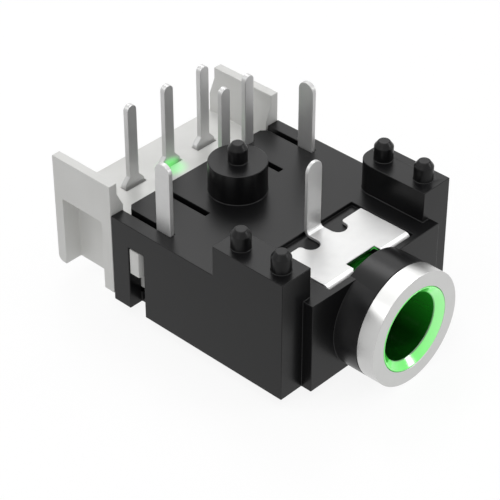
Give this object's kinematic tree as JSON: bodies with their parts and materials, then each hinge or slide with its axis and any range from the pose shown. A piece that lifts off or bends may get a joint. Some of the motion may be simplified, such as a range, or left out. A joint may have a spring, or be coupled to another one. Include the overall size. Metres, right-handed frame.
{
  "type": "audio jack socket",
  "caption": "Right-angle through-hole audio jack socket with nickelled ring, sprung contacts and an isolated changeover switch behind the plug.",
  "frame": {"origin": "bottom centre of the bounding box", "axes": "+Z towards the circuit board that the terminals enter, -Y out of the mouth, +X to the right seen from the mouth"},
  "size_m": [0.0118, 0.0182, 0.0095],
  "materials": {
    "housing": "moulded, satin",
    "front_ring": "turned and nickel plated",
    "bore_insulator": "moulded, lime",
    "sheet_contacts": "stamped and tin plated",
    "switch_holder": "moulded, natural",
    "common_leaf": "rolled spring strip",
    "switch_actuator": "moulded, lime"
  },
  "bodies": {
    "socket": {"housing": "housing", "front_ring": "front_ring", "bore_insulator": "bore_insulator", "sleeve_plate": "sheet_contacts", "tip_spring": "sheet_contacts", "ring_spring": "sheet_contacts", "tip_switch_contact": "sheet_contacts", "ring_switch_contact": "sheet_contacts", "switch_holder": "switch_holder", "switch_closed_contact": "sheet_contacts", "switch_common_terminal": "sheet_contacts", "switch_open_contact": "sheet_contacts"},
    "plunger": {"switch_actuator": "switch_actuator"},
    "leaf": {"switch_common_leaf": "common_leaf"}
  },
  "joints": [
    {"name": "plunger_slide", "type": "slide", "parent": "socket", "child": "plunger", "axis": [0, 1, 0], "range_m": [0, 0.0003], "stiffness_N_per_m": 400, "springref_m": -0.0002},
    {"name": "leaf_bend", "type": "hinge", "parent": "socket", "child": "leaf", "pos_m": [0, 0.00735, 0.00421], "axis": [1, 0, 0], "range_deg": [0, 15]}
  ],
  "couplings": [
    {"joint": "leaf_bend", "follows": "plunger_slide", "rad_per_m": 867}
  ]
}
